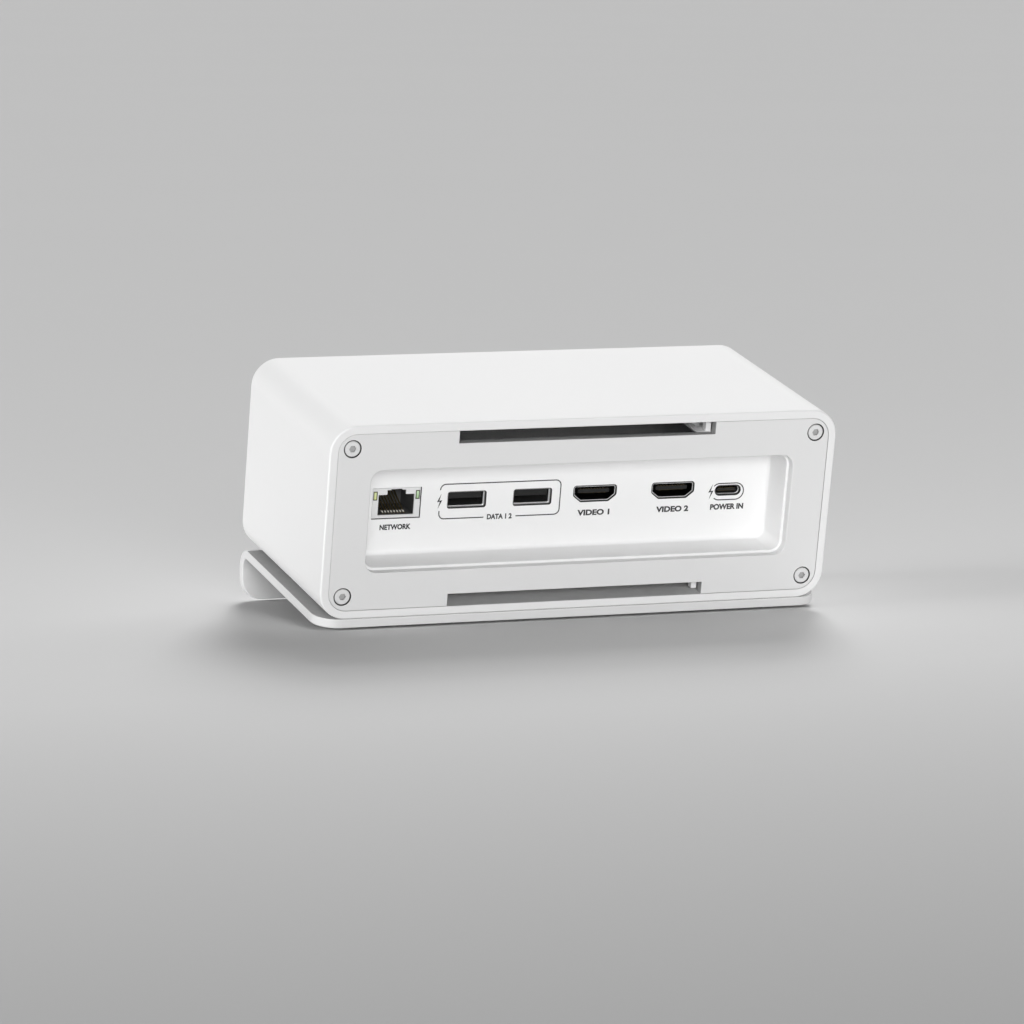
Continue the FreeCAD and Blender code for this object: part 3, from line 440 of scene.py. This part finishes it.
def folded_shell(name, socket, level, edge_reflection_level, bright_depth, lip_roll=0.0):
    """Plated socket shell: the cut edge of its sheet at the mouth takes a grey of its own, a painted dark
    reflection on the type A and port shells; the bright plate lies behind it, and painted shade further
    in.
    """
    finish = Finish(name, metallic=0.3)
    mouth = mounts[socket]
    outwards = Vector(mouth["axis"])
    depth = finish.along(-outwards, Vector(mouth["pos_m"]))
    # Painted dark reflection on the cut edge at the mouth
    edge_reflection = depth < LIP_MARGIN
    # Painted shade further into the mouth, past the bright plate
    deep_shade = ((depth - bright_depth) / SHELL_FADE).clamped()
    lines = finish.noise(size=1.6 * MM, detail=4.0, stretch=BRUSH_STRETCH)
    lip = finish.mix(lines, grey(level * 0.9), grey(level))
    plate = finish.mix(deep_shade, lip, grey(SHELL_DEEP_SHADE_GREY))
    finish.set("Base Color", finish.mix(edge_reflection, plate, grey(edge_reflection_level)))
    finish.set("Roughness", 0.34 + 0.1 * lines)
    if lip_roll:
        finish.lean(outwards, lip_roll * (1 - deep_shade))
    return finish.material


def blackened_shell(name, socket):
    """Black nickel shell whose lip shows a thin bright line, a painted highlight."""
    finish = Finish(name)
    mouth = mounts[socket]
    depth = finish.along(Vector(mouth["axis"]), Vector(mouth["pos_m"]))
    # Painted highlight: a thin pale ring just inside the mouth
    line = abs(depth + VIDEO_LIP_DEPTH) < LIP_MARGIN
    stain = finish.noise(size=3 * MM)
    plate = finish.mix(stain, grey(0.05), grey(0.085))
    finish.set("Base Color", finish.mix(line, plate, grey(VIDEO_LIP_HIGHLIGHT_GREY)))
    finish.set("Metallic", 1 - 0.8 * line)
    finish.set("Roughness", 0.28 + 0.12 * stain)
    return finish.material


def moulded_black(name, level, roughness=0.45):
    finish = Finish(name, specular=0.4)
    grain = finish.noise(size=0.3 * MM, detail=3.0)
    finish.set("Base Color", finish.mix(grain, grey(level * 0.8), grey(level * 1.25)))
    finish.set("Roughness", roughness + 0.15 * grain)
    finish.bump(grain, depth=0.01 * MM, strength=0.6)
    return finish.material


def gold_plate(name, worn, fresh):
    finish = Finish(name, metallic=1.0)
    wipe = finish.noise(size=1.2 * MM, detail=3.0)
    finish.set("Base Color", finish.mix(wipe, worn, fresh))
    finish.set("Roughness", 0.18 + 0.2 * wipe)
    return finish.material


def jack_wires(name):
    """Gold wires with a painted highlight, pale and not metallic, at their feet."""
    finish = Finish(name)
    socket = Vector(mounts["network_socket"]["pos_m"])
    height = finish.along(UP, socket) + JACK_MOUTH_HALF_HEIGHT
    # Painted highlight at the feet of the wires
    foot_highlight = (1.5 - abs(height - WIRE_FOOT_HEIGHT) / WIRE_FOOT_FADE).clamped()
    wipe = finish.noise(size=1.2 * MM, detail=3.0)
    gold = finish.mix(wipe, WIRE_WORN, WIRE_FRESH)
    finish.set("Base Color", finish.mix(foot_highlight, gold, WIRE_FOOT_HIGHLIGHT))
    finish.set("Metallic", 0.8 - 0.8 * foot_highlight)
    finish.set("Roughness", 0.2 + 0.2 * wipe)
    return finish.material


def lamp_lens(name, node, deep, pale):
    """Tinted lens of an unlit indicator, paler towards its top as painted light, and dark round its
    border.
    """
    finish = Finish(name, roughness=0.25, coat_weight=0.4, coat_roughness=0.1)
    low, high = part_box(node)
    middle = (low + high) / 2
    across = abs(finish.along(ACROSS, middle))
    up = finish.along(UP, middle)
    from_middle = across.at_least(abs(up) - (LENS_HALF_HEIGHT - LENS_HALF_WIDTH))
    border = from_middle > LENS_HALF_WIDTH - LENS_BORDER
    # Painted light: the lens grows paler towards its top
    height = (up / (2 * LENS_HALF_HEIGHT) + 0.5).clamped()
    ribs = finish.along(UP).modulo(LENS_RIB_PITCH) / LENS_RIB_PITCH
    lens = finish.mix((height + 0.25 * ribs).clamped(), deep, pale)
    finish.set("Base Color", finish.mix(border, lens, LENS_DARK))
    finish.bump(ribs, depth=0.03 * MM, strength=0.4)
    return finish.material


def ink(name):
    finish = Finish(name, roughness=0.6)
    grain = finish.noise(size=0.2 * MM, detail=3.0)
    finish.set("Base Color", finish.mix(grain, grey(0.02), grey(0.045)))
    return finish.material


def rubber(name):
    finish = Finish(name, specular=0.3)
    grain = finish.noise(size=0.5 * MM, detail=4.0)
    finish.set("Base Color", finish.mix(grain, grey(0.03), grey(0.06)))
    finish.set("Roughness", 0.7 + 0.2 * grain)
    finish.bump(grain, depth=0.03 * MM, strength=0.7)
    return finish.material


def solder_mask(name):
    """Green lacquer over copper tracks that run along and across the board."""
    finish = Finish(name, specular=0.5, coat_weight=0.3, coat_roughness=0.15)
    bend = finish.noise(size=7 * MM) * TRACK_BEND
    across = (finish.along(ACROSS) + bend).modulo(TRACK_PITCH_ACROSS) < TRACK_WIDTH
    deep = (finish.along(OUT) + bend).modulo(TRACK_PITCH_DEEP) < TRACK_WIDTH
    region = finish.noise(size=9 * MM) > 0.5
    tracks = across * region + deep * (1 - region)
    finish.set("Base Color", finish.mix(tracks, MASK_GREEN, TRACK_GREEN))
    finish.set("Roughness", 0.35 - 0.08 * tracks)
    finish.bump(tracks, depth=0.03 * MM, strength=0.6)
    return finish.material


def extruded_black(name):
    """Black anodised fins with fine drawing lines."""
    finish = Finish(name, specular=0.5)
    lines = finish.noise(size=0.8 * MM, detail=3.0, stretch=DRAWN_STRETCH)
    finish.set("Base Color", finish.mix(lines, grey(0.03), grey(0.055)))
    finish.set("Roughness", 0.38 + 0.15 * lines)
    finish.bump(lines, depth=0.01 * MM, strength=0.6)
    return finish.material


def sintered(name, colour):
    finish = Finish(name)
    grain = finish.noise(size=0.4 * MM, detail=5.0)
    finish.set("Base Color", finish.mix(grain, dimmed(colour, 0.7), colour))
    finish.set("Roughness", 0.5 + 0.25 * grain)
    finish.bump(grain, depth=0.04 * MM, strength=0.7)
    return finish.material


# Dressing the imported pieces
def wear_finish(nodes, material):
    for name in nodes:
        mesh = frame["nodes"][name].data
        mesh.materials.clear()
        mesh.materials.append(material)


def dress_casing():
    casing = painted_white("casing_paint", CASING_WHITE, [(sleeve_inside, CASING_INSIDE_GREY)])
    wear_finish(["housing_sleeve"], casing)
    # Painted shade on the vents' cut edges and in the screw holes
    painted_shade_parts = [(vent_edge_painted_shade, VENT_EDGE_SHADE_GREY), (screw_hole_painted_shade, SCREW_HOLE_SHADE_GREY)]
    wear_finish(["rear_panel", "front_panel"], painted_white("panel_paint", PANEL_WHITE, painted_shade_parts))
    # Painted shade on the stand's bed under the sleeve
    wear_finish(["stand"], painted_white("stand_paint", STAND_WHITE, [(dock_bed_painted_shade, BED_SHADE_GREY)]))
    wear_finish(["port_tray"], moulded_white("tray_plastic", TRAY_WHITE, TRAY_CUT_SHADE_GREY))
    wear_finish(["near_feet", "flap_feet"], rubber("foot_rubber"))
    for end, outwards in (("rear", OUT), ("front", -OUT)):
        paint = painted_screw(f"{end}_screw_paint", outwards, SLEEVE_HALF_DEPTH, from_panel_screw)
        wear_finish([f"{end}_panel_screws"], paint)
    stand_reach = SLEEVE_HALF_HEIGHT + STAND_THICKNESS
    wear_finish(["stand_screws"], painted_screw("stand_screw_paint", -UP, stand_reach))


def dress_sockets():
    jack = folded_shell("jack_tin", "network_socket", JACK_TIN_GREY, JACK_TIN_GREY, JACK_BRIGHT_DEPTH)
    wear_finish(["network_jack_shell"], jack)
    wear_finish(["network_jack_insert"], moulded_black("jack_insulator", JACK_BLACK))
    wear_finish(["network_jack_contacts"], jack_wires("jack_gold"))
    yellow = lamp_lens("yellow_lens", "network_led_left", YELLOW_DEEP, YELLOW_PALE)
    wear_finish(["network_led_left"], yellow)
    green = lamp_lens("green_lens", "network_led_right", GREEN_DEEP, GREEN_PALE)
    wear_finish(["network_led_right"], green)
    type_a_lip = (TYPE_A_TIN_GREY, TYPE_A_EDGE_REFLECTION_GREY, TYPE_A_BRIGHT_DEPTH, LIP_ROLL)
    for side in ("left", "right"):
        tin = folded_shell(f"type_a_{side}_tin", f"type_a_{side}_socket", *type_a_lip)
        wear_finish([f"type_a_{side}_shell"], tin)
        nickel = blackened_shell(f"video_{side}_nickel", f"video_{side}_socket")
        wear_finish([f"video_{side}_shell"], nickel)
    port_lip = (PORT_STEEL_GREY, PORT_EDGE_REFLECTION_GREY, PORT_BRIGHT_DEPTH, LIP_ROLL)
    for port in ("power", "host"):
        steel = folded_shell(f"{port}_port_steel", f"{port}_socket", *port_lip)
        wear_finish([f"{port}_port_shell"], steel)
    sockets = ["type_a_left", "type_a_right", "video_left", "video_right", "power_port", "host_port"]
    insulator = moulded_black("socket_insulator", SOCKET_BLACK)
    wear_finish([socket + "_tongue" for socket in sockets], insulator)
    thin_gold = gold_plate("thin_contact_gold", CONTACT_WORN, CONTACT_FRESH)
    wear_finish([socket + "_contacts" for socket in sockets], thin_gold)


def dress_inside():
    wear_finish(["main_board"], solder_mask("board_lacquer"))
    chips = ["hub_chip", "video_chip", "network_chip", "power_chip", "memory_chip", "network_transformer"]
    wear_finish(chips, moulded_black("chip_epoxy", CHIP_BLACK))
    wear_finish(["crystals"], plated_steel("crystal_can", CRYSTAL_TIN, roughness=0.22))
    wear_finish(["power_inductors"], sintered("ferrite", FERRITE_GREY))
    wear_finish(["bulk_capacitors"], plated_steel("capacitor_can", CAN_ALUMINIUM, roughness=0.3))
    wear_finish(["thermal_pads"], sintered("pad_silicone", PAD_BLUE))
    wear_finish(["heat_sink"], extruded_black("sink_anodising"))
    wear_finish(["fin_cover"], moulded_black("cover_film", COVER_FILM_GREY, roughness=0.6))
    wear_finish(["heat_sink_spacers"], plated_steel("spacer_brass", BRASS, roughness=0.3))
    zinc = plated_steel("zinc_plate", ZINC, roughness=0.3)
    wear_finish(["heat_sink_screws", "heat_sink_nuts"], zinc)


# Printing on the tray's floor
def on_tray_floor(socket, right, rise):
    """Point of the tray's floor beside a socket's middle, sunk so that the ink holds on."""
    middle = Vector(mounts[socket]["pos_m"])
    flat = middle - OUT * (middle - tray_floor).dot(OUT)
    return flat + ACROSS * right + UP * rise - OUT * INK_SINK


def tray_matrix(origin):
    axes = Matrix((ACROSS, UP, OUT)).transposed().to_4x4()
    axes.translation = origin
    return axes


def print_piece(name, mesh, origin, material):
    piece = bpy.data.objects.new(name, mesh)
    bpy.context.scene.collection.objects.link(piece)
    piece.matrix_world = tray_matrix(origin)
    mesh.materials.append(material)
    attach(piece, "root")


def thicken(form):
    """Give flat ink faces their thickness, towards the viewer."""
    faces = list(form.faces)
    bmesh.ops.recalc_face_normals(form, faces=faces)
    for face in faces:
        if face.normal.z > 0:
            face.normal_flip()
    raised = bmesh.ops.extrude_face_region(form, geom=faces)["geom"]
    points = [item for item in raised if isinstance(item, bmesh.types.BMVert)]
    bmesh.ops.translate(form, verts=points, vec=(0, 0, INK_THICKNESS))
    bmesh.ops.recalc_face_normals(form, faces=form.faces[:])


def mesh_from(form, name):
    mesh = bpy.data.meshes.new(name)
    form.to_mesh(mesh)
    form.free()
    return mesh


def add_stroke(form, points, width):
    """Flat line of that width through (x, y) points."""
    rows = []
    last = len(points) - 1
    for index, point in enumerate(points):
        before = Vector(points[max(index - 1, 0)])
        after = Vector(points[min(index + 1, last)])
        run = (after - before).normalized()
        side = Vector((-run.y, run.x)) * width / 2
        rows.append([form.verts.new((*(Vector(point) + offset), 0)) for offset in (side, -side)])
    for (a, b), (c, d) in zip(rows, rows[1:]):
        form.faces.new((a, b, d, c))


def corner(x, y, radius, start, sweep=90, steps=8):
    """Points of an arc that starts at that angle in degrees and runs anticlockwise."""
    angles = [math.radians(start + sweep * step / steps) for step in range(steps + 1)]
    return [(x + radius * math.cos(angle), y + radius * math.sin(angle)) for angle in angles]


def print_strokes(name, strokes, origin, material):
    form = bmesh.new()
    for points in strokes:
        add_stroke(form, points, LINE_WIDTH)
    thicken(form)
    print_piece(name, mesh_from(form, name), origin, material)


def frame_round_type_a(material):
    """Line round both type A sockets, open for a word below and a bolt at the left."""
    left, right = -21.0 * MM, 20.65 * MM
    low, high = -5.8 * MM, 5.8 * MM
    radius = 1.8 * MM
    word_left, word_right = -5.5 * MM, 5.6 * MM
    bolt_low, bolt_high = -3.1 * MM, 3.9 * MM
    pair_middle = 11.35 * MM
    shift_right, shift_up = 0.35 * MM, -0.4 * MM
    over = [(word_right, low)] + corner(right - radius, low + radius, radius, 270)
    over += corner(right - radius, high - radius, radius, 0)
    over += corner(left + radius, high - radius, radius, 90)
    over.append((left, bolt_high))
    under = [(left, bolt_low)] + corner(left + radius, low + radius, radius, 180)
    under.append((word_left, low))
    origin = on_tray_floor("type_a_left_socket", pair_middle + shift_right, shift_up)
    print_strokes("type_a_frame_print", [over, under], origin, material)


def frame_round_power(material):
    """Pill-shaped line round the power socket, open at the left for a bolt."""
    radius = 2.8 * MM
    left, right = -2.9 * MM, 2.9 * MM
    over_gap, under_gap = 44, 50
    shift_right, shift_up = -0.05 * MM, -0.43 * MM
    line = corner(left, 0, radius, 180 + under_gap, sweep=90 - under_gap)
    line += corner(right, 0, radius, 270, sweep=180, steps=32)
    line += corner(left, 0, radius, 90, sweep=90 - over_gap)
    origin = on_tray_floor("power_socket", shift_right, shift_up)
    print_strokes("power_frame_print", [line], origin, material)


def bolt_sign(name, socket, right, rise, height, material):
    """Small lightning bolt, the usual sign for power."""
    form = bmesh.new()
    form.faces.new([form.verts.new((x * height, y * height, 0)) for x, y in BOLT_OUTLINE])
    thicken(form)
    print_piece(name, mesh_from(form, name), on_tray_floor(socket, right, rise), material)


def letter_mesh(name, text):
    """Mesh of a line of raised letters, in the font's own size."""
    curve = bpy.data.curves.new(name, "FONT")
    curve.body = text
    curve.align_x = "CENTER"
    curve.align_y = "CENTER"
    curve.extrude = INK_THICKNESS / 2
    curve.offset = LETTER_WEIGHT
    curve.resolution_u = LETTER_STEPS
    probe = bpy.data.objects.new(name + "_probe", curve)
    bpy.context.scene.collection.objects.link(probe)
    bpy.context.view_layer.update()
    solid = probe.evaluated_get(bpy.context.evaluated_depsgraph_get())
    mesh = bpy.data.meshes.new_from_object(solid)
    bpy.data.objects.remove(probe)
    mesh.name = name
    return mesh


def word(name, text, socket, right, rise, width, height, material):
    """Printed word, fitted to a width and a letter height."""
    mesh = letter_mesh(name, text)
    xs = [vertex.co.x for vertex in mesh.vertices]
    ys = [vertex.co.y for vertex in mesh.vertices]
    fit = Matrix.Diagonal((width / (max(xs) - min(xs)), height / (max(ys) - min(ys)), 1, 1))
    centre = Vector(((max(xs) + min(xs)) / 2, (max(ys) + min(ys)) / 2, -INK_THICKNESS / 2))
    mesh.transform(fit @ Matrix.Translation(-centre))
    print_piece(name, mesh, on_tray_floor(socket, right, rise), material)


def print_tray():
    material = ink("print_ink")
    frame_round_type_a(material)
    frame_round_power(material)
    for name, socket, *sizes in BOLTS:
        bolt_sign(name, socket, *[size * MM for size in sizes], material)
    for name, text, socket, *sizes in WORDS:
        word(name, text, socket, *[size * MM for size in sizes], material)


# Floor, light and camera
def lay_floor():
    form = bmesh.new()
    signs = [(-1, -1), (1, -1), (1, 1), (-1, 1)]
    form.faces.new([form.verts.new((x * FLOOR_REACH, y * FLOOR_REACH, 0)) for x, y in signs])
    floor = bpy.data.objects.new("studio_floor", mesh_from(form, "studio_floor"))
    bpy.context.scene.collection.objects.link(floor)
    finish = Finish("floor_grey", roughness=1.0, specular=0.0)
    patches = finish.noise(size=FLOOR_PATCH_SIZE)
    sideways = finish.along(ACROSS)
    towards_viewer = finish.along(Vector((0, -1, 0)))
    # Painted pool of light round the dock, and painted shade towards the viewer
    from_middle = (sideways ** 2 + towards_viewer ** 2) / GLOW_RADIUS ** 2
    painted_glow = 1 / (1 + from_middle)
    near_shade = ((towards_viewer - FALL_START) / FALL_LENGTH).clamped()
    level = FLOOR_FAR + FLOOR_PAINTED_GLOW * painted_glow - FLOOR_NEAR_SHADE * near_shade + FLOOR_PATCHES * patches
    finish.set("Base Color", finish.mix(level, grey(0.0), grey(1.0)))
    floor.data.materials.append(finish.material)


def lookout(azimuth, elevation):
    """Direction towards a point of the sky; azimuth 0 is in front of the sockets, 90 at their right."""
    turn, rise = math.radians(azimuth), math.radians(elevation)
    return Vector((math.sin(turn) * math.cos(rise), -math.cos(turn) * math.cos(rise), math.sin(rise)))


def soft_sun(name, azimuth, elevation, spread, strength):
    light = bpy.data.lights.new(name, "SUN")
    light.angle = math.radians(spread)
    light.energy = strength
    lamp = bpy.data.objects.new(name, light)
    bpy.context.scene.collection.objects.link(lamp)
    lamp.rotation_euler = (-lookout(azimuth, elevation)).to_track_quat("-Z", "Y").to_euler()


def light_studio():
    world = bpy.data.worlds.new("studio")
    bpy.context.scene.world = world
    world.use_nodes = True
    background = world.node_tree.nodes["Background"]
    background.inputs["Color"].default_value = grey(1.0)
    background.inputs["Strength"].default_value = WORLD_STRENGTH
    for lamp in LAMPS:
        soft_sun(*lamp)


def set_camera():
    """The photograph's view: a long lens, a little above the table and left of the sockets."""
    azimuth, elevation = -21.777, 6.695
    roll = math.radians(0.2715)
    distance = 1.63865
    target = Vector((-0.021535, -0.032117, 0.035528))
    focal_pixels = 5116.13
    image_pixels = 1024
    back = lookout(azimuth, elevation)
    level = Vector((0, 0, 1)).cross(back).normalized()
    upright = back.cross(level)
    right = math.cos(roll) * level + math.sin(roll) * upright
    top = math.cos(roll) * upright - math.sin(roll) * level
    data = bpy.data.cameras.new("photo_view")
    data.sensor_width = 36.0
    data.lens = data.sensor_width * focal_pixels / image_pixels
    data.clip_end = 100.0
    camera = bpy.data.objects.new("photo_view", data)
    bpy.context.scene.collection.objects.link(camera)
    pose = Matrix((right, top, back)).transposed().to_4x4()
    pose.translation = target + back * distance
    camera.matrix_world = pose
    bpy.context.scene.camera = camera


dress_casing()
dress_sockets()
dress_inside()
print_tray()
lay_floor()
light_studio()
set_camera()
bpy.context.scene.view_settings.view_transform = "Standard"
